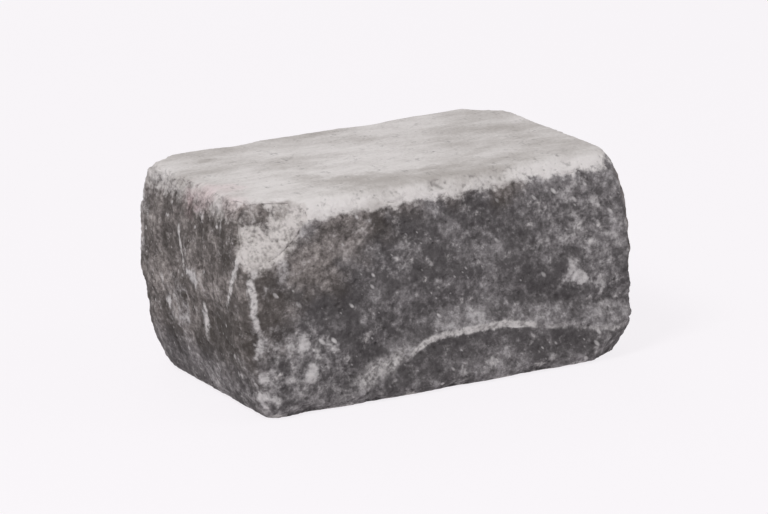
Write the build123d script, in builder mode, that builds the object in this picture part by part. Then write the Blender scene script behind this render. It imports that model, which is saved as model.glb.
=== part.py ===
from build123d import *
import os
from math import sqrt

# Tumbled concrete wall block, one unit of a dry-laid wall, in millimetres.
# X runs along the wall, Y goes into it and Z is up. The origin is the centre of the bottom bed,
# and the face that shows in the wall looks along -Y.

# Overall size: the length over the swollen ends, the depth over the flat faces
length = 300
depth = 200
height = 150

# Riven ends: how far each falls back from its fullest level to the bottom and the top bed
left_fall_bottom = 13
left_fall_top = 10
right_fall_bottom = 7
right_fall_top = 13

# Arrises rounded in the tumbling drum: one radius for each corner in plan, one for each bed, and a
# larger one where the top bed comes over the front
radius_front_left = 13
radius_front_right = 10
radius_back_right = 15
radius_back_left = 17
radius_bottom_bed = 9
radius_top_bed = 7
radius_top_front = 16

# Lap line across the front, where the mix was filled in two goes: a shallow hollow that ends below
# in a lip. From the left the lip climbs off the bottom bed, runs level and then falls a little
lap_level = 43
lap_foot_x = -73
lap_climb_end_x = -16
lap_fall_start_x = 44
lap_fall_end = 10
lap_turn_radius = 60
lap_hollow = 4
lap_deepest_rise = 16
lap_hollow_rise = 40

# Knocked-off corners: side signs in X, Y and Z, then the setbacks along X, Y and Z from the corner
# of the overall box, and the radius of the hollow that the fracture left
corner_knocks = [
    (-1, -1, 1, 56, 27, 42, 80),
    (1, -1, 1, 34, 26, 22, 300),
    (-1, 1, 1, 36, 30, 24, 260),
    (1, 1, 1, 42, 44, 34, 240),
    (-1, -1, -1, 22, 20, 12, 300),
    (1, -1, -1, 44, 30, 34, 320),
    (-1, 1, -1, 34, 32, 38, 260),
    (1, 1, -1, 46, 36, 34, 220),
]

# Chipped arrises: the side signs of the two faces that meet there, 0 for the way the arris runs,
# then the place along it from its middle, the radius of the chip's hollow and its bite, from the
# sharp arris inwards
arris_chips = [
    (0, -1, 1, -34, 26, 8.5),
    (0, -1, 1, 3, 20, 9.0),
    (0, -1, 1, 50, 44, 9.0),
    (0, -1, 1, 100, 28, 8.5),
    (0, -1, -1, -104, 40, 7.5),
    (0, -1, -1, -56, 26, 5.5),
    (0, -1, -1, 4, 32, 6.0),
    (0, -1, -1, 66, 30, 6.5),
    (0, 1, 1, -70, 36, 7.0),
    (0, 1, 1, 34, 44, 6.5),
    (0, 1, -1, 20, 38, 7.5),
    (0, 1, -1, -84, 30, 6.5),
    (-1, 0, 1, -70, 28, 13.0),
    (-1, 0, 1, 30, 46, 10.0),
    (-1, 0, -1, -30, 40, 8.5),
    (1, 0, 1, -34, 44, 9.0),
    (1, 0, -1, 26, 42, 8.5),
]

# Shallow hollows where flakes came off a side: the side's signs in X and Y, the place along it and
# up it from the side's middle, the radius of the hollow and its depth
side_hollows = [
    (-1, 0, 30, 30, 210, 3.0),
    (-1, 0, -38, -26, 170, 3.0),
    (1, 0, -90, -8, 400, 5.0),
    (1, 0, 92, 10, 440, 7.5),
    (1, 0, 8, -30, 190, 3.5),
    (0, 1, -58, 14, 300, 2.5),
    (0, 1, 66, -16, 240, 2.5),
]


def box_corner(sign_x, sign_y, sign_z):
    """Give a point of the overall box: 1 and -1 are its sides and 0 is its middle."""
    return Vector(sign_x * length / 2, sign_y * depth / 2, (1 + sign_z) * height / 2)


def corner_hollow(knock):
    """Place the ball that passes through the three setback points of a knocked-off corner."""
    sign_x, sign_y, sign_z, back_x, back_y, back_z, radius = knock
    corner = box_corner(sign_x, sign_y, sign_z)
    start = corner - Vector(sign_x * back_x, 0, 0)
    to_y = corner - Vector(0, sign_y * back_y, 0) - start
    to_z = corner - Vector(0, 0, sign_z * back_z) - start
    normal = to_y.cross(to_z)
    around = normal.cross(to_y) * to_z.length**2 + to_z.cross(normal) * to_y.length**2
    to_middle = around / (2 * normal.length**2)
    outward = normal.normalized()
    if outward.dot(corner - start) < 0:
        outward = outward * -1
    return start + to_middle + outward * sqrt(radius**2 - to_middle.length**2)


def chip_hollow(chip):
    """Place the ball that bites into an arris."""
    sign_x, sign_y, sign_z, along, radius, bite = chip
    run = Vector(sign_x == 0, sign_y == 0, sign_z == 0)
    outward = Vector(sign_x, sign_y, sign_z).normalized()
    return box_corner(sign_x, sign_y, sign_z) + run * along + outward * (radius - bite)


def flake_hollow(hollow):
    """Place the ball that leaves a shallow hollow in a side."""
    sign_x, sign_y, along, up, radius, deep = hollow
    outward = Vector(sign_x, sign_y, 0)
    run = Vector(abs(sign_y), abs(sign_x), 0)
    return box_corner(sign_x, sign_y, 0) + run * along + Vector(0, 0, up) + outward * (radius - deep)


def end_swell(side, fall_bottom, fall_top):
    """Draw an end's arc from bed to bed, fullest where the arc of these two falls has its crown."""
    crown = height * sqrt(fall_bottom) / (sqrt(fall_bottom) + sqrt(fall_top))
    return ThreePointArc(
        (side * (length / 2 - fall_bottom), 0),
        (side * length / 2, crown),
        (side * (length / 2 - fall_top), height),
    )


with BuildPart() as wall_block:
    # Swollen ends between flat beds, from face to face
    with BuildSketch(Plane.XZ):
        with BuildLine():
            left_end = end_swell(-1, left_fall_bottom, left_fall_top)
            right_end = end_swell(1, right_fall_bottom, right_fall_top)
            Line(left_end @ 0, right_end @ 0)
            Line(left_end @ 1, right_end @ 1)
        make_face()
    extrude(amount=depth / 2, both=True)

    # Upright arrises
    for sign_x, sign_y, radius in (
        (-1, -1, radius_front_left),
        (1, -1, radius_front_right),
        (1, 1, radius_back_right),
        (-1, 1, radius_back_left),
    ):
        corner = box_corner(sign_x, sign_y, 0)
        fillet(wall_block.edges().sort_by_distance(corner)[0], radius)

    # Arrises round the two beds
    fillet(wall_block.faces().sort_by(Axis.Z)[0].edges(), radius_bottom_bed)
    fillet(wall_block.faces().sort_by(Axis.Z)[-1].edges(), radius_top_bed)

    # Front arris of the top bed, worn rounder than the others
    with BuildSketch(Plane.YZ):
        with Locations((-depth / 2, height)):
            Rectangle(2 * radius_top_front, 2 * radius_top_front)
        with Locations((-depth / 2 + radius_top_front, height - radius_top_front)):
            Circle(radius_top_front, mode=Mode.SUBTRACT)
    extrude(amount=length / 2, both=True, mode=Mode.SUBTRACT)

    # Hollow above the lap line: its section is swept along the line
    front_face = Plane.XZ.offset(depth / 2)
    with BuildLine(front_face) as lap_line:
        FilletPolyline(
            (2 * lap_foot_x - lap_climb_end_x, -lap_level),
            (lap_climb_end_x, lap_level),
            (lap_fall_start_x, lap_level),
            (length / 2 + lap_turn_radius, lap_fall_end),
            radius=lap_turn_radius,
        )
    with BuildSketch(Plane(origin=lap_line.line @ 1, x_dir=(0, -1, 0), z_dir=(-1, 0, 0))) as hollow:
        with BuildLine():
            Polyline(
                (lap_hollow, 0),
                (0, 0),
                (-lap_hollow, lap_deepest_rise),
                (0, lap_hollow_rise),
                (lap_hollow, lap_hollow_rise),
                close=True,
            )
        make_face()
    sweep(hollow.sketch, path=lap_line.line, mode=Mode.SUBTRACT)

    # Flaked sides, chipped arrises and knocked-off corners
    for flake in side_hollows:
        with Locations(flake_hollow(flake)):
            Sphere(flake[-2], mode=Mode.SUBTRACT)
    for chip in arris_chips:
        with Locations(chip_hollow(chip)):
            Sphere(chip[-2], mode=Mode.SUBTRACT)
    for knock in corner_knocks:
        with Locations(corner_hollow(knock)):
            Sphere(knock[-1], mode=Mode.SUBTRACT)

wall_block.part.label = "wall_block"

os.makedirs("parts", exist_ok=True)
export_step(wall_block.part, "parts/wall_block.step")
print("volume", round(wall_block.part.volume / 1e6, 3), "litres")
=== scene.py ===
"""Dresses the tumbled concrete wall block: its worn, riven skin and its weathered concrete."""

import logging
import math
from dataclasses import dataclass, field
from enum import Enum
from itertools import product

import bpy
import numpy as np
from mathutils import Matrix, Vector
from mathutils.kdtree import KDTree


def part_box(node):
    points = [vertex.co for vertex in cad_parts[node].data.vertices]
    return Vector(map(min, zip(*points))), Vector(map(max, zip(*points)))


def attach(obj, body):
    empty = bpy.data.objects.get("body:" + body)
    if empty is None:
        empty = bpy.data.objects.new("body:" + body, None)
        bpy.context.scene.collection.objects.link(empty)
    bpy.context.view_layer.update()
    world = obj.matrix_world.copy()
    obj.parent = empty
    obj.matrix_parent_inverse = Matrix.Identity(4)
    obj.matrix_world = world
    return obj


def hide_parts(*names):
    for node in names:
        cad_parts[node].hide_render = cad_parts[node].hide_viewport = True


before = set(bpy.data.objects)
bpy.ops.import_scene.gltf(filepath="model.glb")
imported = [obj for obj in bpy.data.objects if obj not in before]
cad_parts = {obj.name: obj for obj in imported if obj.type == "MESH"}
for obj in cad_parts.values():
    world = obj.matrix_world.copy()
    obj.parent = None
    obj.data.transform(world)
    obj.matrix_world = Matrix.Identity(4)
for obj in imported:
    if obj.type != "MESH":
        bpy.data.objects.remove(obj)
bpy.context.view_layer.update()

MM = 0.001
BAKE_MAP = "OFBake"
FRONT_Y = -100.0
log = logging.getLogger("wall_block")

Colour = tuple[float, float, float]
Stops = tuple[tuple[float, Colour], ...]
Socket = bpy.types.NodeSocket
Value = Socket | tuple[float, ...] | float


class Grain(Enum):
    """The way a texture is drawn out: how much finer it is along X, Y and Z, and its turn about Y."""

    EVEN = (1.0, 1.0, 1.0, 0.0)
    UPRIGHT = (1.0, 1.0, 0.16, 0.0)
    TALL = (1.0, 1.0, 0.4, 0.0)
    INWARD = (1.0, 0.7, 1.0, 0.0)
    LEVEL = (0.6, 1.0, 1.0, 0.0)
    SMEAR = (0.45, 1.0, 1.0, 0.0)
    SLANT = (1.0, 1.0, 0.5, 0.7)
    CLIMB = (0.3, 1.0, 1.0, 0.65)

    def laid(self, points: np.ndarray) -> np.ndarray:
        """Turn and squeeze points, so that even noise read there comes out drawn out.

        Args:
            points: places, one a row.

        Returns:
            The moved places.
        """
        *squeeze, turn = self.value
        across, into, up = points.T
        turned = (
            across * math.cos(turn) + up * math.sin(turn),
            into,
            up * math.cos(turn) - across * math.sin(turn),
        )
        return np.stack(turned, axis=1) * np.array(squeeze)


def smooth_step(low: float, high: float, values: np.ndarray) -> np.ndarray:
    """Ease values from 0 at low to 1 at high.

    Args:
        low: where the ease starts; it may be above high, and the ease then runs downwards.
        high: where the ease ends.
        values: what is eased.

    Returns:
        The eased values, from 0 to 1.
    """
    part = np.clip((values - low) / (high - low), 0.0, 1.0)
    return part * part * (3.0 - 2.0 * part)


def read(items: bpy.types.bpy_prop_collection, name: str, width: int, kind: type = float) -> np.ndarray:
    """Read one property of a mesh's points, edges, corners or faces.

    Args:
        items: what is read.
        name: the property.
        width: how many numbers each item gives.
        kind: the kind of number.

    Returns:
        One row for each item, or a flat array where each gives one number.
    """
    numbers = np.empty(len(items) * width, kind)
    items.foreach_get(name, numbers)
    return numbers.reshape(-1, width) if width > 1 else numbers


class StoneNoise:
    """Seeded noise in space, the same on every run."""

    TABLE = 256

    def __init__(self, seed: int) -> None:
        """Draw the tables that the noise is looked up in.

        Args:
            seed: picks the pattern.
        """
        draws = np.random.default_rng(seed)
        self.order = draws.permutation(self.TABLE)
        slopes = draws.normal(size=(self.TABLE, 3))
        self.slopes = slopes / np.linalg.norm(slopes, axis=1, keepdims=True)
        self.places = draws.random((self.TABLE, 3))
        self.worths = draws.random(self.TABLE)

    def _entry(self, cell: np.ndarray) -> np.ndarray:
        """Give each cell of a lattice its entry in the tables.

        Args:
            cell: whole-numbered cells, one a row.

        Returns:
            Each cell's entry.
        """
        last = self.TABLE - 1
        first = self.order[cell[:, 0] & last]
        second = self.order[(first + cell[:, 1]) & last]
        return self.order[(second + cell[:, 2]) & last]

    def waves(self, points: np.ndarray, size: float, grain: Grain = Grain.EVEN) -> np.ndarray:
        """Smooth noise between about -1 and 1.

        Args:
            points: places in mm, one a row.
            size: the width of one wave in mm.
            grain: how the waves are drawn out.

        Returns:
            One value for each place.
        """
        scaled = grain.laid(points) / size
        cell = np.floor(scaled).astype(np.int64)
        part = scaled - cell
        ease = part**3 * (part * (part * 6.0 - 15.0) + 10.0)
        total = np.zeros(len(points))
        for corner in product((0, 1), repeat=3):
            step = np.array(corner)
            slope = self.slopes[self._entry(cell + step)]
            weight = np.where(step == 1, ease, 1.0 - ease).prod(axis=1)
            total += weight * ((part - step) * slope).sum(axis=1)
        return total * 1.7

    def layers(
        self, points: np.ndarray, size: float, count: int, keep: float = 0.5, grain: Grain = Grain.EVEN
    ) -> np.ndarray:
        """Add finer and finer waves.

        Args:
            points: places in mm, one a row.
            size: the width of the widest wave in mm.
            count: how many layers there are.
            keep: the strength of each layer as a share of the one before.
            grain: how the waves are drawn out.

        Returns:
            One value for each place, between about -1 and 1.
        """
        total = np.zeros(len(points))
        reach = 0.0
        for layer in range(count):
            shifted = points + 37.7 * layer
            total += keep**layer * self.waves(shifted, size / 2.0**layer, grain)
            reach += keep**layer
        return total / math.sqrt(reach)

    def cells(self, points: np.ndarray, size: float) -> tuple[np.ndarray, np.ndarray]:
        """Scatter one grain in each cell of a lattice and find the nearest.

        Args:
            points: places in mm, one a row.
            size: the lattice's spacing in mm.

        Returns:
            The distance to the nearest grain in mm, and that grain's worth from 0 to 1.
        """
        scaled = points / size
        cell = np.floor(scaled).astype(np.int64)
        nearest = np.full(len(points), 9.0)
        worth = np.zeros(len(points))
        for corner in product((-1, 0, 1), repeat=3):
            there = cell + np.array(corner)
            entry = self._entry(there)
            gap = np.linalg.norm(there + self.places[entry] - scaled, axis=1)
            closer = gap < nearest
            nearest[closer] = gap[closer]
            worth[closer] = self.worths[entry][closer]
        return nearest * size, worth


@dataclass
class Skin:
    """A mesh's surface as plain arrays, in mm."""

    points: np.ndarray
    normals: np.ndarray
    edges: np.ndarray
    own_share: float = 0.35

    @classmethod
    def of(cls, mesh: bpy.types.Mesh) -> "Skin":
        """Read a mesh's skin.

        Args:
            mesh: the mesh.

        Returns:
            Its points, normals and edges.
        """
        points = read(mesh.vertices, "co", 3) / MM
        normals = read(mesh.vertices, "normal", 3)
        return cls(points, normals, read(mesh.edges, "vertices", 2, np.int64))

    def settled(self, rounds: int) -> np.ndarray:
        """Average each point with its neighbours, again and again.

        Args:
            rounds: how many times.

        Returns:
            The smoothed points.
        """
        first, second = self.edges.T
        count = len(self.points)
        neighbours = np.bincount(first, minlength=count) + np.bincount(second, minlength=count)
        points = self.points.copy()
        for _ in range(rounds):
            around = np.empty_like(points)
            for axis, line in enumerate(points.T):
                ahead = np.bincount(first, line[second], count)
                around[:, axis] = ahead + np.bincount(second, line[first], count)
            around /= neighbours[:, None]
            points = self.own_share * points + (1.0 - self.own_share) * around
        return points

    def above(self, soft: np.ndarray) -> np.ndarray:
        """Measure how far each point stands out of the smoothed skin."""
        return ((self.points - soft) * self.normals).sum(axis=1)


@dataclass(frozen=True)
class Patch:
    """A soft-edged place on the stone: limed, weathered, stained, or lighter or darker."""

    x: float
    y: float
    z: float
    reach: float
    strength: float


def patches(*places: tuple[float, float, float, float, float]) -> tuple[Patch, ...]:
    """Make patches from their x, y, z, reach and strength."""
    return tuple(Patch(*place) for place in places)


def front_patches(*places: tuple[float, float, float, float]) -> tuple[Patch, ...]:
    """Make patches on the front from their x, z, reach and strength."""
    return tuple(Patch(x, FRONT_Y, *others) for x, *others in places)


@dataclass(frozen=True)
class LimeRun:
    """A thin pale run down the stone, placed by how far it is round the front left arris."""

    top_round: float
    top: float
    foot_round: float
    foot: float
    width: float
    strength: float


@dataclass(frozen=True)
class Hollow:
    """A ball-shaped hollow that the solid has where a piece broke off."""

    x: float
    y: float
    z: float
    radius: float

    @classmethod
    def at_corner(cls, corner: np.ndarray, setbacks: tuple[float, float, float], radius: float) -> "Hollow":
        """Place the hollow that passes through three setback points round a corner.

        Args:
            corner: the corner of the overall box.
            setbacks: how far back the points lie along X, Y and Z, each with its side's sign.
            radius: the hollow's radius.

        Returns:
            The hollow.
        """
        start, by_y, by_z = (corner - np.eye(3)[axis] * setbacks[axis] for axis in range(3))
        to_y, to_z = by_y - start, by_z - start
        normal = np.cross(to_y, to_z)
        around = np.cross(normal, to_y) * (to_z @ to_z) + np.cross(to_z, normal) * (to_y @ to_y)
        to_middle = around / (2.0 * (normal @ normal))
        outward = normal / np.linalg.norm(normal)
        outward *= np.sign(outward @ (corner - start))
        middle = start + to_middle + outward * math.sqrt(radius**2 - to_middle @ to_middle)
        return cls(*middle, radius)

    def gap(self, points: np.ndarray) -> np.ndarray:
        """Measure how far under the hollow's floor each point lies, in mm."""
        return np.linalg.norm(points - np.array([self.x, self.y, self.z]), axis=1) - self.radius


class NodeSketch:
    """A node tree in the making."""

    def __init__(self, tree: bpy.types.NodeTree) -> None:
        """Empty the tree.

        Args:
            tree: the node tree.
        """
        self.tree = tree
        tree.nodes.clear()

    def node(self, kind: str, inputs: dict[str | int, Value], **options: str) -> bpy.types.Node:
        """Place a node.

        Args:
            kind: the kind of node.
            inputs: what its inputs get: the output of another node, a number, a vector or a colour.
            options: its own options.

        Returns:
            The node.
        """
        node = self.tree.nodes.new(kind)
        for name, option in options.items():
            setattr(node, name, option)
        for name, value in inputs.items():
            socket = node.inputs[name]
            if isinstance(value, Socket):
                self.tree.links.new(value, socket)
            elif socket.type == "RGBA":
                socket.default_value = (*value, 1.0)
            else:
                socket.default_value = value
        return node

    def work_out(self, kind: str, first: Socket | float, second: Socket | float) -> Socket:
        """Work out one sum of two values."""
        return self.node("ShaderNodeMath", {0: first, 1: second}, operation=kind).outputs[0]

    def shown_rays(self) -> Socket:
        """Pick out the rays that see the pale background: from the camera, mirrored or passed on.

        Returns:
            1 for such a ray and 0 for the rest.
        """
        kinds = self.node("ShaderNodeLightPath", {}).outputs
        either = self.work_out("MAXIMUM", kinds["Is Camera Ray"], kinds["Is Glossy Ray"])
        return self.work_out("MAXIMUM", either, kinds["Is Transmission Ray"])


class ShaderSketch(NodeSketch):
    """Short words for laying out a stone shader's nodes. Sizes are in mm."""

    def __init__(self, tree: bpy.types.NodeTree) -> None:
        """Empty the tree and place its coordinates.

        Args:
            tree: the material's own node tree.
        """
        super().__init__(tree)
        self.place = self.node("ShaderNodeTexCoord", {}).outputs["Object"]

    def add(self, first: Socket, second: Socket | float) -> Socket:
        """Add two values."""
        return self.work_out("ADD", first, second)

    def minus(self, first: Socket, second: Socket) -> Socket:
        """Take one value from another."""
        return self.work_out("SUBTRACT", first, second)

    def times(self, first: Socket, second: Socket | float) -> Socket:
        """Multiply two values."""
        return self.work_out("MULTIPLY", first, second)

    def spread(self, noise: Socket, strength: float) -> Socket:
        """Centre a noise on nought and give it a strength."""
        return self.times(self.add(noise, -0.5), strength)

    def weighed(self, *parts: tuple[Socket, float]) -> Socket:
        """Add noises up, each centred on nought.

        Args:
            parts: the noises, each with its strength.

        Returns:
            The sum.
        """
        total, *others = (self.spread(noise, strength) for noise, strength in parts)
        for other in others:
            total = self.add(total, other)
        return total

    def attribute(self, name: str) -> Socket:
        """Read a value that the mesh carries at its points."""
        return self.node("ShaderNodeAttribute", {}, attribute_name=name).outputs["Fac"]

    def drawn_out(self, grain: Grain) -> Socket:
        """Draw the coordinates out.

        Args:
            grain: the way they are drawn out.

        Returns:
            The coordinates.
        """
        if grain is Grain.EVEN:
            return self.place
        *squeeze, turn = grain.value
        scale = tuple(1.0 / share for share in squeeze)
        inputs = {"Vector": self.place, "Scale": scale, "Rotation": (0.0, -turn, 0.0)}
        return self.node("ShaderNodeMapping", inputs, vector_type="TEXTURE").outputs["Vector"]

    def noise(self, size: float, detail: float, rough: float, grain: Grain = Grain.EVEN) -> Socket:
        """Lay down cloudy noise.

        Args:
            size: the width of its widest clouds in mm.
            detail: how many finer layers it has.
            rough: how strong the finer layers are.
            grain: how it is drawn out.

        Returns:
            Its value, about 0.5 in the middle.
        """
        inputs = {"Scale": 1.0 / (size * MM), "Detail": detail, "Roughness": rough}
        inputs["Vector"] = self.drawn_out(grain)
        return self.node("ShaderNodeTexNoise", inputs).outputs["Fac"]

    def speckle(self, spacing: float, radius: float, kept: float, grain: Grain = Grain.EVEN) -> Socket:
        """Scatter spots of uneven size.

        Args:
            spacing: the spacing of the spots in mm.
            radius: the radius of the largest in mm.
            kept: the share of them that shows.
            grain: how they are drawn out.

        Returns:
            1 inside a spot and 0 outside.
        """
        inputs = {"Scale": 1.0 / (spacing * MM), "Vector": self.drawn_out(grain)}
        spots = self.node("ShaderNodeTexVoronoi", inputs).outputs
        worth = self.node("ShaderNodeSeparateColor", {0: spots["Color"]}).outputs[0]
        reach = self.times(self.ease(worth, 1.0 - kept, 1.0), radius / spacing)
        return self.ease(self.minus(reach, spots["Distance"]), 0.0, 0.6 * radius / spacing)

    def ease(self, value: Socket, low: float, high: float) -> Socket:
        """Ease a value from 0 at low to 1 at high."""
        return self.ramp_value(value, low, high, 0.0, 1.0)

    def ramp_value(self, value: Socket, low: float, high: float, first: float, last: float) -> Socket:
        """Ease a value from first at low to last at high.

        Args:
            value: what is eased.
            low: where the ease starts.
            high: where it ends.
            first: the result at low.
            last: the result at high.

        Returns:
            The eased value.
        """
        inputs = {"Value": value, "From Min": low, "From Max": high, "To Min": first, "To Max": last}
        return self.node("ShaderNodeMapRange", inputs, interpolation_type="SMOOTHSTEP").outputs["Result"]

    def ramp(self, value: Socket, stops: Stops) -> Socket:
        """Colour a value.

        Args:
            value: what is coloured.
            stops: places from 0 to 1, each with its colour.

        Returns:
            The colour.
        """
        node = self.node("ShaderNodeValToRGB", {"Fac": value})
        elements = node.color_ramp.elements
        while len(elements) < len(stops):
            elements.new(0.5)
        for element, (place, colour) in zip(elements, stops):
            element.position = place
            element.color = (*colour, 1.0)
        return node.outputs["Color"]

    def mix(
        self, first: Socket | Colour, second: Socket | Colour, share: Socket, blend: str = "MIX"
    ) -> Socket:
        """Mix two colours.

        Args:
            first: the colour where share is 0.
            second: the colour where share is 1.
            share: how much of the second shows.
            blend: how the second is laid over the first.

        Returns:
            The mixed colour.
        """
        inputs = {"Factor": share, 6: first, 7: second}
        return self.node("ShaderNodeMix", inputs, data_type="RGBA", blend_type=blend).outputs[2]

    def wire(self, colour: Socket, roughness: Socket, height: Socket) -> None:
        """Wire the shader.

        Args:
            colour: the base colour.
            roughness: the roughness.
            height: the fine relief in mm.
        """
        bump = self.node("ShaderNodeBump", {"Strength": 0.9, "Distance": MM, "Height": height})
        inputs = {"Base Color": colour, "Roughness": roughness, "Normal": bump.outputs["Normal"]}
        inputs["Specular IOR Level"] = 0.32
        shader = self.node("ShaderNodeBsdfPrincipled", inputs)
        self.node("ShaderNodeOutputMaterial", {"Surface": shader.outputs["BSDF"]})


@dataclass(frozen=True)
class Concrete:
    """The block's concrete: dark skin, pale bed, lime, weathered ends and fresh fracture, with painted
    shade in hollows and pores and a painted highlight on the lap's lip.
    """

    name: str = "tumbled concrete"
    skin: Stops = (
        (0.24, (0.064, 0.058, 0.060)),
        (0.46, (0.103, 0.095, 0.097)),
        (0.62, (0.196, 0.183, 0.187)),
        (0.86, (0.460, 0.438, 0.445)),
    )
    weathered: Stops = (
        (0.24, (0.058, 0.050, 0.045)),
        (0.46, (0.113, 0.099, 0.094)),
        (0.62, (0.230, 0.205, 0.196)),
        (0.86, (0.500, 0.456, 0.439)),
    )
    bed: Colour = (0.735, 0.700, 0.692)
    bed_shade: Colour = (0.430, 0.398, 0.380)
    fracture: Colour = (0.618, 0.579, 0.566)
    fracture_shade: Colour = (0.260, 0.237, 0.224)
    lime: Colour = (0.640, 0.612, 0.613)
    lime_shade: Colour = (0.230, 0.215, 0.218)
    lime_and_lip_light: Colour = (0.620, 0.590, 0.586)
    streak_shade: Colour = (0.250, 0.234, 0.233)
    # Painted shade: the near-black laid into the skin's hollows and pore spots.
    pit_shade: Colour = (0.026, 0.023, 0.022)
    blush: Colour = (1.000, 0.850, 0.880)

    def material(self) -> bpy.types.Material:
        """Build the node material.

        Returns:
            The material, ready to assign.
        """
        made = bpy.data.materials.new(self.name)
        made.use_nodes = True
        paint = ConcretePaint(made.node_tree, self)
        paint.lay_lime()
        paint.lay_specks()
        paint.lay_streaks_and_lip_light()
        paint.lay_bed()
        paint.lay_fracture()
        paint.lay_stain_and_pit_shade()
        return made


class ConcretePaint(ShaderSketch):
    """The block's concrete, laid coat by coat over the dark skin."""

    def __init__(self, tree: bpy.types.NodeTree, colours: Concrete) -> None:
        """Lay down the noises that the coats share, and the dark skin.

        Args:
            tree: the material's own node tree.
            colours: the concrete's colours.
        """
        super().__init__(tree)
        self.colours = colours
        self.mottle = self.noise(14, 5, 0.62, Grain.SLANT)
        self.crust = self.noise(5.5, 4, 0.62, Grain.INWARD)
        self.crumb = self.noise(2.2, 3, 0.6, Grain.INWARD)
        self.grit = self.noise(0.9, 2, 0.5, Grain.INWARD)
        clots = self.noise(9.0, 3, 0.55, Grain.INWARD)
        self.blobs = self.weighed((clots, 0.5), (self.crust, 0.5), (self.crumb, 0.3))
        self.weathering = self.attribute("weathering")
        self.shade = self.attribute("shade")
        self.coat = self._dark_skin()

    def _dark_skin(self) -> Socket:
        """Colour the bare skin, dun where it is weathered.

        Returns:
            The colour.
        """
        blotch = self.noise(38, 3, 0.5)
        strands = self.noise(8.0, 2, 0.5, Grain.TALL)
        clouds = self.weighed((blotch, 0.35), (self.mottle, 0.75), (self.crust, 0.86))
        tone = self.add(clouds, self.weighed((self.crumb, 0.36), (self.grit, 0.18)))
        tone = self.add(tone, self.times(self.weathering, self.spread(strands, 0.25)))
        # The shade values hold the stone's own lighter and darker patches, and also painted light and shade
        # about the lap and in the fresh break.
        tone = self.add(self.add(tone, self.shade), 0.5)
        fresh = self.ramp(tone, self.colours.skin)
        return self.mix(fresh, self.ramp(tone, self.colours.weathered), self.weathering)

    def _cover(self, over: Socket | Colour, share: Socket) -> None:
        """Lay a colour over the coats so far."""
        self.coat = self.mix(self.coat, over, share)

    def lay_lime(self) -> None:
        """Lay on the lime, in clumps."""
        lime = self.attribute("lime")
        thick = self.add(self.blobs, self.spread(lime, 0.2))
        chalk = self.mix(self.colours.lime_shade, self.colours.lime, self.ease(thick, -0.1, 0.3))
        shown = self.add(self.blobs, self.times(lime, 0.34))
        self._cover(chalk, self.times(self.ease(shown, 0.02, 0.4), 0.95))

    def lay_specks(self) -> None:
        """Scatter pale specks of lime and stone dust."""
        coarse = self.speckle(6.5, 1.9, 0.7, Grain.SLANT)
        fine = self.speckle(3.2, 0.9, 0.6, Grain.SLANT)
        shown = self.add(self.times(coarse, 0.8), self.times(fine, 0.45))
        gathered = self.ramp_value(self.noise(30, 3, 0.6), 0.38, 0.6, 0.25, 1.0)
        self._cover(self.colours.lime, self.times(shown, gathered))

    def lay_streaks_and_lip_light(self) -> None:
        """Dust the lip of the lap and the thin runs; on the lip the dust is also a painted highlight where
        its ledge faces up.
        """
        fibres = self.noise(3.0, 3, 0.6, Grain.CLIMB)
        grain = self.add(self.weighed((self.crust, 1.1), (self.crumb, 0.9), (fibres, 0.8)), 1.0)
        dust = self.mix(self.colours.streak_shade, self.colours.lime_and_lip_light, self.ease(grain, 0.6, 1.2))
        streaked = self.times(self.attribute("lime_and_lip_light"), grain)
        self._cover(dust, self.ease(streaked, 0.05, 1.05))

    def lay_bed(self) -> None:
        """Lay the pale skin on the beds and over their arrises, where it crumbles away."""
        smear = self.noise(40, 4, 0.62, Grain.LEVEL)
        wipe = self.noise(12, 4, 0.6, Grain.SMEAR)
        tone = self.weighed((smear, 1.3), (wipe, 0.4), (self.crumb, 0.35))
        tone = self.add(tone, self.times(self.shade, 1.2))
        bed = self.mix(self.colours.bed_shade, self.colours.bed, self.ease(tone, -0.42, 0.34))
        crumbled = self.times(self.blobs, self.ramp_value(self.weathering, 0.0, 1.0, 2.2, 1.4))
        self._cover(bed, self.ease(self.add(self.attribute("bloom"), crumbled), 0.2, 0.9))

    def lay_fracture(self) -> None:
        """Lay bare the fresh break."""
        grains = self.weighed((self.crumb, 0.4), (self.crust, 0.9), (self.mottle, 0.5))
        # The shade values paint shade into the upper part of the break's hollow and light onto its lower
        # left.
        bare = self.ease(self.add(grains, self.shade), -0.26, 0.17)
        broken = self.mix(self.colours.fracture_shade, self.colours.fracture, bare)
        edge = self.add(self.attribute("fracture"), self.times(self.blobs, 1.6))
        self._cover(broken, self.ease(edge, 0.12, 0.95))

    def lay_stain_and_pit_shade(self) -> None:
        """Stain the left end faintly, paint shade into hollows and pores, and wire the shader."""
        self.coat = self.mix(self.coat, self.colours.blush, self.attribute("blush"), "MULTIPLY")
        # Painted shade: hollows of the skin and the pore spots are darkened for the shade that falls in
        # them.
        hollow_shade = self.ease(self.attribute("hollow_shade"), 0.2, 1.0)
        self._cover(self.colours.pit_shade, self.times(hollow_shade, 0.36))
        pit_shade = self.speckle(7.0, 0.55, 0.35)
        self._cover(self.colours.pit_shade, self.times(pit_shade, 0.8))
        height = self.add(self.times(self.grit, 0.25), self.times(self.crumb, 0.7))
        height = self.minus(height, self.times(pit_shade, 0.5))
        self.wire(self.coat, self.ramp_value(self.crumb, 0.35, 0.65, 0.96, 0.82), height)


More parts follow.
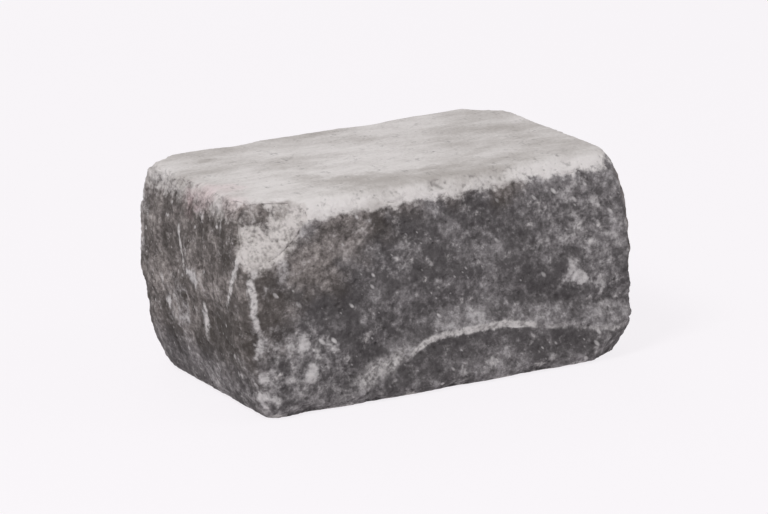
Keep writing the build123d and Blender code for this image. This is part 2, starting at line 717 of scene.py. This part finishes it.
@dataclass
class BlockForm:
    """The forms that the worn skin follows, as the solid has them: box, breaks and lap line, in mm."""

    low: np.ndarray
    high: np.ndarray
    break_setbacks: tuple[float, float, float] = (-56.0, -27.0, 42.0)
    break_radius: float = 80.0
    nick_along: float = -70.0
    nick_radius: float = 28.0
    nick_bite: float = 13.0
    lap_level: float = 43.0
    lap_foot_x: float = -73.0
    lap_climb_end_x: float = -16.0
    lap_fall_start_x: float = 44.0
    lap_fall_slope: float = 0.2
    lap_ease: float = 7.0
    lip_drop: float = 3.7
    noise: StoneNoise = field(default_factory=lambda: StoneNoise(2207))
    other: StoneNoise = field(default_factory=lambda: StoneNoise(911))

    def __post_init__(self) -> None:
        """Place the two breaks that show."""
        corner = np.array([self.low[0], self.low[1], self.high[2]])
        self.corner_break = Hollow.at_corner(corner, self.break_setbacks, self.break_radius)
        out = (self.nick_radius - self.nick_bite) / math.sqrt(2.0)
        self.nick = Hollow(self.low[0] - out, self.nick_along, self.high[2] + out, self.nick_radius)

    def front(self, points: np.ndarray) -> np.ndarray:
        """Tell the front from the rest: 1 on it and 0 off it."""
        return smooth_step(12, 5, points[:, 1] - self.low[1])

    def above_lip(self, points: np.ndarray) -> np.ndarray:
        """Measure how far above the lip of the lap each point is.

        Args:
            points: places before wear.

        Returns:
            The distances in mm, below 0 under the lip.
        """
        across = points[:, 0]
        climb = self.lap_level / (self.lap_climb_end_x - self.lap_foot_x) * (across - self.lap_foot_x)
        fall = self.lap_level - self.lap_fall_slope * (across - self.lap_fall_start_x)
        level = np.minimum(fall, self.lap_level)
        line = 0.5 * (climb + level - np.sqrt((climb - level) ** 2 + self.lap_ease**2))
        steep = smooth_step(self.lap_climb_end_x + 12, self.lap_climb_end_x - 18, across)
        return (points[:, 2] - line) * (1.0 - 0.2 * steep) + self.lip_drop


class Wear:
    """What riving, tumbling and weather took from the fine skin or left on it. Sizes are in mm."""

    OFF_SIDES = 0.75
    OFF_BEDS = 0.12

    def __init__(self, form: BlockForm, skin: Skin, soft: np.ndarray) -> None:
        """Tell beds, ends, sides and arrises apart.

        Args:
            form: the block's form.
            skin: the fine skin.
            soft: its smoothed points.
        """
        self.form = form
        self.noise = form.noise
        self.other = form.other
        self.points = skin.points
        self.normals = skin.normals
        self.soft = soft
        self.rise = skin.above(soft)
        facing = np.abs(skin.normals)
        self.upward = smooth_step(0.55, 0.9, facing[:, 2])
        self.endward = smooth_step(0.5, 0.9, facing[:, 0])
        self.sides = 1.0 - self.upward
        self.facet = smooth_step(0.82, 0.7, facing.max(axis=1))
        self.arris = smooth_step(0.35, 1.5, self.rise)
        self.rough = self.noise.layers(self.points, 8, 3, 0.65, Grain.INWARD)
        self.fine = self.other.layers(self.points, 3.6, 2, 0.6, Grain.INWARD)

    def worn(self) -> np.ndarray:
        """Wear the skin down and round it off.

        Returns:
            The worn points.
        """
        relief = self._lumps() + self._crust() - self._flakes() + self._grit()
        relief += self._breaks() - self._crumbled()
        relief -= self.OFF_SIDES * self.sides + self.OFF_BEDS * self.upward
        rounding = self._rounding()[:, None]
        rounded = self.points * (1.0 - rounding) + self.soft * rounding
        return np.clip(rounded + self.normals * relief[:, None], self.form.low, self.form.high)

    def _lumps(self) -> np.ndarray:
        """Swell the sides, the riven ends, the arrises and the back left arris in wide lumps.

        Returns:
            How far each point moves out.
        """
        lumps = 0.8 * self.sides * self.other.layers(self.points, 44, 2)
        lumps += 0.2 * self.upward * self.other.layers(self.points, 60, 2)
        lumps += 0.8 * self.endward * self.noise.layers(self.points, 20, 3, 0.55, Grain.TALL)
        arrises = 0.7 * self.endward + 1.3 * self.arris * self.sides
        lumps += arrises * self.other.layers(self.points + 13.0, 24, 2)
        off_arris = np.hypot(self.points[:, 0] - self.form.low[0], self.points[:, 1] - self.form.high[1])
        back_left = smooth_step(42, 22, off_arris) * self.sides
        return lumps + 1.5 * back_left * self.noise.layers(self.points + 29.0, 21, 2)

    def _crust(self) -> np.ndarray:
        """Roughen the sides with crust and grain.

        Returns:
            How far each point moves out.
        """
        faces = (self.sides - self.endward).clip(0.0)
        crust = 0.7 * faces * self.noise.layers(self.points, 11, 3, 0.6)
        crust += 0.6 * self.endward * self.rough
        crust += (0.45 * self.sides - 0.2 * self.endward + 0.08 * self.upward) * self.fine
        return crust + 0.75 * self.facet * (1.0 - 0.5 * self.arris) * self.rough

    def _flakes(self) -> np.ndarray:
        """Spall flakes off the sides, wide ones and small ones.

        Returns:
            How far each point moves in.
        """
        wide = smooth_step(0.42, 0.52, self.other.layers(self.points, 22, 4, 0.6))
        small = smooth_step(0.38, 0.46, self.noise.layers(self.points + 90.0, 13, 3, 0.6))
        return self.sides * ((0.55 + 0.5 * self.endward) * wide + 0.45 * small)

    def _grit(self) -> np.ndarray:
        """Scatter standing grains over the sides, and pits where grains fell out.

        Returns:
            How far each point moves out.
        """
        gap, worth = self.noise.cells(self.points, 6.0)
        grains = 0.5 * self.sides * smooth_step(2.6, 0.8, gap) * (worth > 0.5)
        gap, worth = self.other.cells(self.points, 9.0)
        return grains - 1.3 * (0.3 + 0.7 * self.sides) * smooth_step(1.9, 0.6, gap) * (worth > 0.7)

    def _crumbled(self) -> np.ndarray:
        """Crumble the arrises.

        Returns:
            How far each point moves in.
        """
        coarse = (0.6 + 1.5 * self.noise.layers(self.points, 12, 3, 0.65)).clip(0.0, 2.8)
        fine = (0.6 * self.other.layers(self.points, 4.5, 2)).clip(-0.3, 1.2)
        return self.arris * (1.25 * coarse + fine)

    def _breaks(self) -> np.ndarray:
        """Roughen the floors of the fresh break and of the nick beside it.

        Returns:
            How far each point moves out.
        """
        broken = smooth_step(1.2, 0.4, np.abs(self.form.corner_break.gap(self.points)))
        nicked = smooth_step(1.2, 0.4, np.abs(self.form.nick.gap(self.points)))
        floor = 1.1 * self.noise.layers(self.points, 14, 3, 0.6) + 0.5 * self.fine - 0.4
        return broken * floor + nicked * (0.8 * self.rough - 0.3)

    def _rounding(self) -> np.ndarray:
        """Find how far the arrises go over to their smoothed form.

        Returns:
            The share of the smoothed form at each point.
        """
        off_front_left = np.hypot(*(self.points[:, :2] - self.form.low[:2]).T)
        _, into, up = self.points.T
        off_top_front = np.hypot(up - self.form.high[2], into - self.form.low[1])
        near_break = smooth_step(9, 2, np.abs(self.form.corner_break.gap(self.points)))
        front_left = smooth_step(34, 16, off_front_left) * smooth_step(4, 30, up)
        soft = np.maximum(0.6 * front_left, 0.5 * smooth_step(30, 16, off_top_front))
        soft = np.maximum(soft, 0.8 * near_break)
        return (0.3 * self.arris + soft * smooth_step(0.05, 0.7, self.rise)).clip(0.0, 0.85)


@dataclass
class Stains:
    """What lies on the block's skin or colours it, point by point, painted light and shade about the lap
    and in the fresh break among them. Sizes are in mm.

    The patches and runs of the front and the left end lie where the real block shows them.
    """

    form: BlockForm
    points: np.ndarray
    normals: np.ndarray
    rise: np.ndarray
    bloom_drop: float = 13.9
    bloom_climb: float = 3.0
    bloom_end_drop: float = 4.5
    patch_drift: float = 4.5
    patch_fray: float = 0.45
    lime_patches: tuple[Patch, ...] = (
        front_patches(
            (-106, 51, 11, 1.5), (-104, 27, 11, 1.2), (-117, 49, 8, 0.8), (-139, 33, 9, 0.95),
            (-112, 18, 8, 1), (-116, 35, 9, 0.6), (-123, 25, 9, 0.65), (-97, 40, 8, 0.6),
            (-86, 45, 8, 0.8), (-78, 34, 9, 0.6), (-84, 12, 8, 0.6), (-92, 28, 6, 0.6),
            (-138, 54, 9, 0.65), (-118, 34, 44, 0.5), (-90, 22, 28, 0.4), (107, 67, 8, 1.7),
            (107, 67, 17, 0.8), (100, 74, 7, 1), (80, 97, 5, 0.8), (90, 91, 5, 0.7),
            (-128, 16, 7, 1.1), (118, 58, 9, 0.7), (114, 84, 10, 0.7), (96, 92, 9, 0.7),
            (78, 98, 9, 0.6), (118, 115, 12, 0.7), (122, 45, 11, 0.8), (104, 120, 42, 0.44),
            (35, 13, 8, 0.5), (51, 21, 7, 0.55), (66, 23, 8, 0.6), (79, 8, 7, 0.8), (9, 6, 16, 0.4),
            (2, 56, 4, 1), (36, 73, 5, 0.9), (-7, 80, 4, 0.8), (-36, 99, 5, 0.8), (27, 88, 4, 0.8),
            (-55, 130, 3, 1), (-26, 104, 16, 0.4), (-120, 104, 10, 0.75), (-133, 92, 6, 0.6),
        )
        + patches(
            (-138, -98, 17, 10, 1.15), (132, -98, 40, 16, 0.42), (124, -99, 16, 18, 0.5),
            (128, -97, 80, 36, 0.4), (140, -94, 110, 16, 0.4), (-134, -82, 145, 20, 0.15),
            (-147, -11, 84, 8, 1.6), (-147, -3, 85, 8, 1.6), (-147, 42, 60, 6, 1.3),
            (-147, -25, 65, 6, 0.9), (-147, 51, 71, 5, 0.9), (-144, -47, 143, 7, 1.1),
            (-146, 69, 83, 5, 1), (-146, -26, 62, 7, 0.6), (-146, -18, 86, 14, 0.5),
            (-146, 20, 58, 30, 0.55), (-140, 92, 124, 22, 0.9), (-142, 94, 88, 22, 0.7),
            (-142, 88, 52, 18, 0.45), (-144, 30, 140, 9, 0.6), (-144, -16, 134, 9, 0.6),
            (-142, -50, 128, 8, 0.5), (-138, -20, 16, 30, 0.42), (-138, -70, 12, 20, 0.45),
            (-138, -96, 116, 9, 1),
        )
    )
    weathered_patches: tuple[Patch, ...] = (
        front_patches(
            (-98, 104, 34, 1), (-76, 124, 32, 0.9), (-140, 84, 38, 1), (-140, 58, 24, 0.7),
            (-52, 128, 22, 0.9), (-30, 142, 26, 0.6), (50, 138, 15, 1), (10, 142, 18, 0.6),
        )
        + patches((-130, -84, 145, 26, 1))
    )
    old_skin: tuple[Patch, ...] = patches(
        (-150, -68, 145, 13, 1), (-144, -75, 145, 14, 1), (-137, -80, 145, 14, 1),
        (-131, -84, 144, 14, 1), (-125, -87, 145, 10, 1),
    )
    blushes: tuple[Patch, ...] = patches(
        (-148, 2, 140, 15, 0.9), (-148, -12, 139, 11, 0.8), (-143, -22, 150, 22, 0.6),
        (-128, -30, 150, 17, 0.4), (-140, -60, 150, 17, 0.4),
    )
    shades: tuple[Patch, ...] = (
        front_patches(
            # The first two are painted shade above the lap's hollow, where its upper part faces down.
            (67, 62, 18, -0.1), (90, 66, 18, -0.13), (50, 137, 12, -0.12), (-52, 120, 12, -0.08),
            (-82, 66, 24, -0.08), (-74, 26, 10, -0.12), (-60, 40, 14, -0.1), (-126, 78, 14, -0.07),
            (-127, 42, 8, -0.1), (-4, 30, 20, -0.06), (92, 28, 16, -0.1), (104, 134, 40, 0.06),
            (-88, 112, 28, 0.1), (-104, 106, 14, 0.12), (-60, 116, 20, 0.05),
        )
        + patches(
            # These two paint shade into the upper part of the fresh break's hollow and light onto its lower
            # left part.
            (-112, -90, 141, 15, -0.04), (-138, -98, 117, 11, 0.05),
            (-146, -56, 52, 34, -0.19), (-140, -98, 62, 26, -0.12), (-146, 42, 36, 20, -0.18),
            (-146, -12, 34, 20, -0.16), (-146, -70, 118, 16, -0.16), (-146, -50, 132, 12, -0.1),
            (-146, 3, 136, 10, -0.08), (-146, 42, 143, 8, -0.1), (-147, 34, 55, 20, 0.1),
            (-147, -3, 57, 14, 0.1), (-147, 47, 66, 18, 0.1), (-147, -18, 84, 16, 0.12),
            (-147, 6, 49, 14, 0.1), (-147, 14, 104, 22, -0.06), (-147, -45, 92, 30, 0.05),
            (-147, 52, 96, 22, -0.06), (-147, 62, 94, 24, -0.09), (-144, 93, 122, 14, 0.24),
            (-145, 93, 104, 14, 0.24), (-146, 93, 86, 12, 0.16), (-147, 60, 116, 18, 0.07),
            (-138, -20, 16, 34, 0.07), (-20, -10, 150, 70, 0.1), (-40, -84, 150, 44, -0.17),
            (20, -90, 148, 36, -0.17), (-106, 60, 150, 9, -0.24), (-72, -30, 150, 22, -0.08),
            (100, 20, 150, 60, -0.06),
        )
    )
    runs: tuple[LimeRun, ...] = (
        LimeRun(11, 117, 35, 70, 4.4, 1.3),
        LimeRun(18, 108, 28, 80, 3.4, 0.9),
        LimeRun(-13, 120, -6, 94, 3.6, 1.4),
        LimeRun(-6, 101, -10, 54, 3.6, 1.4),
        LimeRun(-6, 108, -3, 62, 1.6, 0.6),
        LimeRun(-16, 96, -20, 76, 1.8, 0.5),
        LimeRun(118, 118, 109, 82, 4.8, 1.6),
        LimeRun(106, 112, 101, 84, 3.0, 0.5),
        LimeRun(75, 72, 75, 38, 4.6, 1.3),
        LimeRun(150, 78, 152, 58, 3.6, 0.8),
        LimeRun(140, 146, 138, 126, 2.2, 0.7),
    )

    def values(self) -> dict[str, np.ndarray]:
        """Work out the values that the material reads.

        Returns:
            The values by name, one number for each point.
        """
        return {
            "bloom": self._bloom(),
            "fracture": self._fracture(),
            "lime": self._lime(),
            "lime_and_lip_light": self._streaks_and_lip_light(),
            "weathering": self._weathering(),
            "shade": self._shade(),
            "blush": self._gathered(self.blushes, self._noise(9)),
        }

    def _noise(self, size: float) -> np.ndarray:
        """Lay noise over the stone."""
        return self.form.noise.layers(self.points, size, 3, 0.6)

    def _other_noise(self, size: float) -> np.ndarray:
        """Lay other noise over the stone, unlike the first."""
        return self.form.other.layers(self.points, size, 3, 0.6)

    def _gathered(self, places: tuple[Patch, ...], ragged: np.ndarray) -> np.ndarray:
        """Lay soft-edged patches over the stone.

        Args:
            places: where they lie.
            ragged: the noise that breaks up their edges.

        Returns:
            The strongest patch at each place.
        """
        shown = np.zeros(len(self.points))
        first = self.form.noise.layers(self.points + 71.0, 17, 2)
        second = self.form.other.layers(self.points + 71.0, 17, 2)
        drift = np.stack((first, second, first - second), axis=1)
        moved = self.points + self.patch_drift * drift
        for patch in places:
            gap = np.linalg.norm(moved - np.array([patch.x, patch.y, patch.z]), axis=1)
            reach = (patch.reach * (1.0 + self.patch_fray * ragged)).clip(1.0)
            strength = patch.strength * smooth_step(1.15, 0.3, gap / reach)
            shown = np.where(np.abs(shown) > np.abs(strength), shown, strength)
        return shown

    def _bloom(self) -> np.ndarray:
        """Find where the pale skin of the beds shows.

        Returns:
            How pale each place is, from 0 to 1.
        """
        ragged = self._noise(9)
        crumbs = self.form.other.layers(self.points, 5, 2, 0.6)
        across, _, up = self.points.T
        endward, _, upward = self.normals.T
        drop = self.form.high[2] - up
        level = self.bloom_drop - self.bloom_climb * smooth_step(10, 70, across)
        over_side = smooth_step(0.15, 0.5, np.abs(endward))
        level = level + (self.bloom_end_drop - level) * over_side
        spill = (drop + 2.4 * ragged + 1.4 * crumbs - level) / (5.3 + 3.0 * over_side)
        top = smooth_step(1.0, -1.0, spill)
        ends = 0.62 * smooth_step(0.3, 0.8, -endward) + 0.35 * smooth_step(0.3, 0.8, endward)
        over_end = ends * smooth_step(30, 5, drop + 5.0 * ragged)
        bottom = 0.55 * smooth_step(0.6, 0.95, 0.15 * ragged - upward)
        kept = self._gathered(self.old_skin, ragged) * (0.75 + 0.25 * smooth_step(149.7, 148.7, up))
        return np.maximum(np.maximum(top, over_end), bottom) * (1.0 - kept)

    def _fracture(self) -> np.ndarray:
        """Find the fresh break at the front left top corner.

        Returns:
            1 on the break and 0 off it.
        """
        ragged = self._other_noise(8)
        across, into, up = self.points.T
        reach = 4.0 + 5.0 * smooth_step(132, 114, up)
        gap = np.abs(self.form.corner_break.gap(self.points)) + 2.2 * ragged
        inward = into - self.form.low[1] + 2.5 * ragged
        stained = smooth_step(9, 0, inward) * smooth_step(-124, -100, across)
        shown = smooth_step(1.0, -0.1, gap / reach) * (1.0 - 0.45 * stained)
        return shown * (1.0 - self._gathered(self.old_skin, ragged))

    def _lime(self) -> np.ndarray:
        """Find where lime lies: in patches, on worn arrises and in short strokes on the ends.

        Returns:
            How much lime shows, from 0 to 1.4.
        """
        ragged = self.form.noise.layers(self.points, 12, 4, 0.65)
        clumps = self.form.other.layers(self.points + 17.0, 13, 3, 0.6)
        shown = self._gathered(self.lime_patches, ragged)
        whole = smooth_step(0.8, 1.2, shown)
        shown = shown * (whole + (1.0 - whole) * (1.0 + 0.8 * clumps).clip(0.35, 1.4))
        shown = np.maximum(shown, 0.4 * smooth_step(0.35, 0.9, ragged))
        shown = np.maximum(shown, 0.42 * smooth_step(0.7, 2.2, self.rise + 0.9 * ragged))
        ends = smooth_step(0.5, 0.9, np.abs(self.normals[:, 0]))
        drawn_out = Grain.UPRIGHT.laid(self.points) * (0.0, 1.0, 1.4)
        gap, worth = self.form.other.cells(drawn_out, 12)
        strokes = smooth_step(1.7, 0.5, gap + 0.7 * ragged) * (worth > 0.6)
        return np.maximum(shown, 0.85 * ends * strokes).clip(0.0, 1.4)

    def _streaks_and_lip_light(self) -> np.ndarray:
        """Find the unbroken lime, on the lap's lip and beside its climb and in the thin runs; on the lip
        and the climb it is also painted light where the ledge faces up.

        Returns:
            How much of it shows, from 0 to 1.7.
        """
        ragged = self._noise(10)
        patchy = self._other_noise(16)
        across, _, up = self.points.T
        gap = self.form.above_lip(self.points) + 0.8 * ragged
        level = smooth_step(-44, -12, across)
        # On the lip and beside the climb the lime also stands in for the light that the upward-facing ledge
        # catches: part lime, part painted highlight.
        bright = 1.25 + 0.5 * smooth_step(4, 28, across) - 1.3 * smooth_step(52, 72, across)
        lip = smooth_step(-1.9, 0.3, gap) * smooth_step(5.8, 1.4, gap) * level
        lip = lip * (bright + 0.4 * patchy).clip(0.0, 1.7)
        gap = gap + 2.5 * ragged - 6.0 * smooth_step(-28, -60, across)
        climb = smooth_step(-6, 4, gap) * smooth_step(17, 5, gap) * (1.0 - level)
        climb = climb * (0.56 + 0.25 * patchy) * smooth_step(-4, 22, up)
        return np.maximum(np.maximum(lip, climb) * self.form.front(self.points), self._runs())

    def _runs(self) -> np.ndarray:
        """Draw the thin pale runs on the left end and round its front arris.

        Returns:
            How much of a run shows, from 0 to 1.6.
        """
        on_end = self.points[:, 1] - self.form.low[1]
        on_front = self.points[:, 0] - self.form.low[0]
        round_arris = np.where(on_end > on_front, on_end, -on_front)
        up = self.points[:, 2]
        shown = np.zeros(len(self.points))
        for run in self.runs:
            down = ((run.top - up) / (run.top - run.foot)).clip(0.0, 1.0)
            middle = run.top_round + (run.foot_round - run.top_round) * down
            line = self.points * (0.0, 0.0, 1.0) + (run.top, run.foot, 0.0)
            wander = 1.8 * self.form.noise.waves(line, 15) + 0.9 * self.form.other.waves(line, 5)
            broken = 0.7 + 0.3 * smooth_step(-0.35, 0.15, self.form.noise.layers(line, 7, 2))
            ends = smooth_step(run.foot - 2, run.foot + 18, up)
            ends = ends * smooth_step(run.top + 3, run.top - 3, up)
            across = smooth_step(run.width, 0.0, np.abs(round_arris - middle - wander))
            shown = np.maximum(shown, run.strength * broken * ends * across)
        return shown * smooth_step(20, 12, np.minimum(on_end, on_front))

    def _weathering(self) -> np.ndarray:
        """Find where the stone is weathered to a warm dun: the ends, and round the fresh break.

        Returns:
            How weathered each place is, from 0 to 1.
        """
        ragged = self._other_noise(18)
        ends = smooth_step(0.35, 0.75, np.abs(self.normals[:, 0]) + 0.15 * ragged)
        ends = ends * (0.15 + 0.85 * smooth_step(20, 48, self.points[:, 2] + 8.0 * ragged))
        return np.maximum(ends, self._gathered(self.weathered_patches, ragged)).clip(0.0, 1.0)

    def _shade(self) -> np.ndarray:
        """Find how much lighter or darker than the rest the stone is: its own tone, and painted light and
        shade about the lap's hollow and in the fresh break.

        Returns:
            The step in tone, below 0 where it is darker.
        """
        ragged = self._other_noise(10)
        across, _, up = self.points.T
        gap = self.form.above_lip(self.points) + 2.0 * ragged
        level = smooth_step(-24, 2, across)
        # About the lap: the band above the lip is partly a haze of lime and partly painted light where the
        # hollow's lower part faces up; slope is painted light where the climb faces up; under is painted
        # shade just below the lip.
        haze_and_highlight = 0.155 * smooth_step(-1, 3, gap) * smooth_step(22, 12, gap) * level
        slope = 0.06 * smooth_step(-1, 3, gap) * smooth_step(19, 9, gap) * (1.0 - level)
        under = -0.04 * smooth_step(0, -4, gap) * smooth_step(-24, -10, gap)
        foot = 0.04 * smooth_step(14, 3, up)
        arris = 0.15 * smooth_step(29, 13, self.form.high[2] - up + 3.0 * ragged)
        shade = self.form.front(self.points) * (haze_and_highlight + slope + under + foot + arris)
        shade += 0.12 * self._gathered(self.old_skin, ragged)
        return shade + self._gathered(self.shades, ragged)


@dataclass
class TumbledBlock:
    """The wall block's worn stone skin, made over its solid. Sizes are in mm."""

    solid: bpy.types.Object
    form: BlockForm
    finish: Concrete = field(default_factory=Concrete)
    grid: float = 1.1
    triangles: int = 192_000
    wear_rounds: int = 60
    cavity_rounds: int = 5
    cavity_depths: tuple[float, float] = (0.02, 0.4)
    map_margin: float = 6.0
    map_lean: float = 0.06

    def build(self) -> bpy.types.Object:
        """Make the worn block.

        Returns:
            The block's object, in place of its solid.
        """
        mesh = self._fine_mesh()
        skin = Skin.of(mesh)
        wear = Wear(self.form, skin, skin.settled(self.wear_rounds))
        worn = wear.worn()
        mesh.vertices.foreach_set("co", (worn * MM).ravel())
        mesh.update()
        piece = bpy.data.objects.new("worn_block", mesh)
        bpy.context.scene.collection.objects.link(piece)
        self._decimate(piece)
        self._paint(piece, worn, skin, wear.rise)
        self._lay_out(piece.data)
        piece.data.materials.clear()
        piece.data.materials.append(self.finish.material())
        return piece

    def _fine_mesh(self) -> bpy.types.Mesh:
        """Remesh a copy of the solid into an even fine skin.

        Returns:
            The fine mesh.
        """
        copy = bpy.data.objects.new("fine_skin", self.solid.data.copy())
        bpy.context.scene.collection.objects.link(copy)
        remesh = copy.modifiers.new("fine", "REMESH")
        remesh.mode = "VOXEL"
        remesh.voxel_size = self.grid * MM
        graph = bpy.context.evaluated_depsgraph_get()
        mesh = bpy.data.meshes.new_from_object(copy.evaluated_get(graph))
        mesh.name = "worn_block"
        bpy.data.objects.remove(copy)
        return mesh

    def _decimate(self, piece: bpy.types.Object) -> None:
        """Thin the mesh where the stone is plain, and keep it inside the overall box.

        Args:
            piece: the block.
        """
        mesh = piece.data
        mesh.calc_loop_triangles()
        thin = piece.modifiers.new("thin", "DECIMATE")
        thin.ratio = min(1.0, self.triangles / len(mesh.loop_triangles))
        graph = bpy.context.evaluated_depsgraph_get()
        thinned = bpy.data.meshes.new_from_object(piece.evaluated_get(graph))
        piece.modifiers.clear()
        piece.data = thinned
        bpy.data.meshes.remove(mesh)
        spots = np.clip(read(thinned.vertices, "co", 3), self.form.low * MM, self.form.high * MM)
        thinned.vertices.foreach_set("co", spots.ravel())
        thinned.shade_smooth()

    def _paint(self, piece: bpy.types.Object, worn: np.ndarray, skin: Skin, rise: np.ndarray) -> None:
        """Give the mesh the values that its material reads.

        Args:
            piece: the block.
            worn: the fine skin's worn points.
            skin: the fine skin before wear.
            rise: how far each of its points stood out of its surroundings.
        """
        tree = KDTree(len(worn))
        for index, point in enumerate(worn):
            tree.insert(point, index)
        tree.balance()
        thinned = Skin.of(piece.data)
        count = len(thinned.points)
        nearest = np.fromiter((tree.find(point)[1] for point in thinned.points), np.int64, count)
        values = Stains(self.form, skin.points[nearest], skin.normals[nearest], rise[nearest]).values()
        # The skin's deep hollows are marked here for the material to darken: painted shade.
        hollow = -thinned.above(thinned.settled(self.cavity_rounds))
        values["hollow_shade"] = smooth_step(*self.cavity_depths, hollow)
        for name, value in values.items():
            layer = piece.data.attributes.new(name, "FLOAT", "POINT")
            layer.data.foreach_set("value", value.astype(np.float32))

    def _lay_out(self, mesh: bpy.types.Mesh) -> None:
        """Lay the six sides out flat, side by side, as the map that the material is baked to.

        Args:
            mesh: the block's mesh.
        """
        low, high = self.form.low, self.form.high
        length, _, height = high - low
        middle = read(mesh.polygons, "center", 3) / MM
        outward = (middle - (low + high) / 2) / (high - low)
        outward += self.map_lean * read(mesh.polygons, "normal", 3)
        axis = np.abs(outward).argmax(axis=1)
        side = axis * 2 + (np.take_along_axis(outward, axis[:, None], 1)[:, 0] > 0)
        side = np.repeat(side, read(mesh.polygons, "loop_total", 1, np.int64))
        corners = read(mesh.loops, "vertex_index", 1, np.int64)
        spots = read(mesh.vertices, "co", 3)[corners] / MM - low

        margin = self.map_margin
        row = height + 2 * margin
        plans = {
            0: (1, 2, length + margin, 0.0),
            1: (1, 2, length + margin, row),
            2: (0, 2, 0.0, 0.0),
            3: (0, 2, 0.0, row),
            4: (0, 1, 0.0, 2 * row),
            5: (0, 1, length + margin, 2 * row),
        }
        flat = np.zeros((len(corners), 2))
        for number, (across, up, right, above) in plans.items():
            chosen = side == number
            flat[chosen, 0] = spots[chosen, across] + right + margin
            flat[chosen, 1] = spots[chosen, up] + above + margin
        layer = mesh.uv_layers.new(name=BAKE_MAP)
        full = 2 * length + 3 * margin
        layer.uv.foreach_set("vector", (flat / full).ravel().astype(np.float32))


@dataclass(frozen=True)
class Lamp:
    """A soft round lamp: where it hangs and how wide it is, in metres, and its power in watts."""

    name: str
    place: tuple[float, float, float]
    width: float
    power: float

    def hang(self, aim: Vector) -> None:
        """Hang the lamp.

        Args:
            aim: what it points at.
        """
        data = bpy.data.lights.new(self.name, "AREA")
        data.shape = "DISK"
        data.size = self.width
        data.energy = self.power
        lamp = bpy.data.objects.new(self.name, data)
        lamp.location = self.place
        lamp.rotation_euler = (aim - lamp.location).to_track_quat("-Z", "Y").to_euler()
        bpy.context.scene.collection.objects.link(lamp)


@dataclass(frozen=True)
class Studio:
    """A pale sweep, soft lamps and the camera. Sizes are in metres, angles in degrees."""

    pale: Colour = (0.940, 0.913, 0.940)
    glow: Colour = (0.962, 0.934, 0.962)
    glow_share: float = 0.88
    sky: float = 0.42
    lamps: tuple[Lamp, ...] = (
        Lamp("key_lamp", (-1.5, -1.1, 2.4), 0.9, 42.0),
        Lamp("fill_lamp", (1.9, -1.7, 1.1), 1.8, 8.0),
        Lamp("rear_lamp", (0.4, 2.4, 1.7), 1.8, 12.0),
    )
    azimuth: float = -24.0
    elevation: float = 14.0
    roll: float = 3.5
    distance: float = 3.34
    lens: float = 222.0
    nearest: float = 0.05
    farthest: float = 100.0
    floor_width: float = 60.0

    def build(self, aim: Vector) -> None:
        """Set up floor, light and camera.

        Args:
            aim: the middle of the block.
        """
        self._floor()
        self._world()
        for lamp in self.lamps:
            lamp.hang(aim)
        self._camera(aim)

    def _floor(self) -> None:
        """Lay the pale floor, which shows its own colour and keeps the block's shadow."""
        mesh = bpy.data.meshes.new("floor")
        half = self.floor_width / 2
        corners = [(-half, -half, 0), (half, -half, 0), (half, half, 0), (-half, half, 0)]
        mesh.from_pydata(corners, [], [(0, 1, 2, 3)])
        floor = bpy.data.objects.new("floor", mesh)
        bpy.context.scene.collection.objects.link(floor)
        made = bpy.data.materials.new("pale floor")
        made.use_nodes = True
        sketch = NodeSketch(made.node_tree)
        matte = sketch.node("ShaderNodeBsdfDiffuse", {"Color": self.pale}).outputs[0]
        glow = sketch.node("ShaderNodeEmission", {"Color": self.glow}).outputs[0]
        share = sketch.work_out("MULTIPLY", sketch.shown_rays(), self.glow_share)
        blend = sketch.node("ShaderNodeMixShader", {0: share, 1: matte, 2: glow})
        sketch.node("ShaderNodeOutputMaterial", {"Surface": blend.outputs[0]})
        mesh.materials.append(made)

    def _world(self) -> None:
        """Surround the scene with soft light, pale where the camera sees it."""
        world = bpy.data.worlds.new("studio")
        world.use_nodes = True
        sketch = NodeSketch(world.node_tree)
        white = {"Color": (1.0, 1.0, 1.0), "Strength": self.sky}
        light = sketch.node("ShaderNodeBackground", white).outputs[0]
        seen = sketch.node("ShaderNodeBackground", {"Color": self.pale}).outputs[0]
        blend = sketch.node("ShaderNodeMixShader", {0: sketch.shown_rays(), 1: light, 2: seen})
        sketch.node("ShaderNodeOutputWorld", {"Surface": blend.outputs[0]})
        bpy.context.scene.world = world

    def _camera(self, aim: Vector) -> None:
        """Stand the camera where the photograph was taken from.

        Args:
            aim: the middle of the block.
        """
        round_block = math.radians(self.azimuth)
        above = math.radians(self.elevation)
        across = math.sin(round_block) * math.cos(above)
        back = Vector((across, -math.cos(round_block) * math.cos(above), math.sin(above)))
        data = bpy.data.cameras.new("camera")
        data.lens = self.lens
        data.clip_start = self.nearest
        data.clip_end = self.farthest
        camera = bpy.data.objects.new("camera", data)
        turn = (-back).to_track_quat("-Z", "Y").to_matrix().to_4x4()
        roll = Matrix.Rotation(math.radians(-self.roll), 4, "Z")
        camera.matrix_world = Matrix.Translation(aim + back * self.distance) @ turn @ roll
        bpy.context.scene.collection.objects.link(camera)
        bpy.context.scene.camera = camera


def main() -> None:
    """Build the block and its studio, and report each piece."""
    logging.basicConfig(level=logging.INFO, format="%(name)s: %(message)s")
    low, high = (np.array(corner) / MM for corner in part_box("wall_block"))
    block = TumbledBlock(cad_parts["wall_block"], BlockForm(low, high))
    piece = block.build()
    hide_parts("wall_block")
    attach(piece, "root")
    log.info("%s has %d faces", piece.name, len(piece.data.polygons))

    middle = Vector((low + high) * MM / 2)
    Studio().build(middle)
    bpy.context.scene.view_settings.view_transform = "Standard"
    log.info("studio is set")


if __name__ == "__main__":
    main()
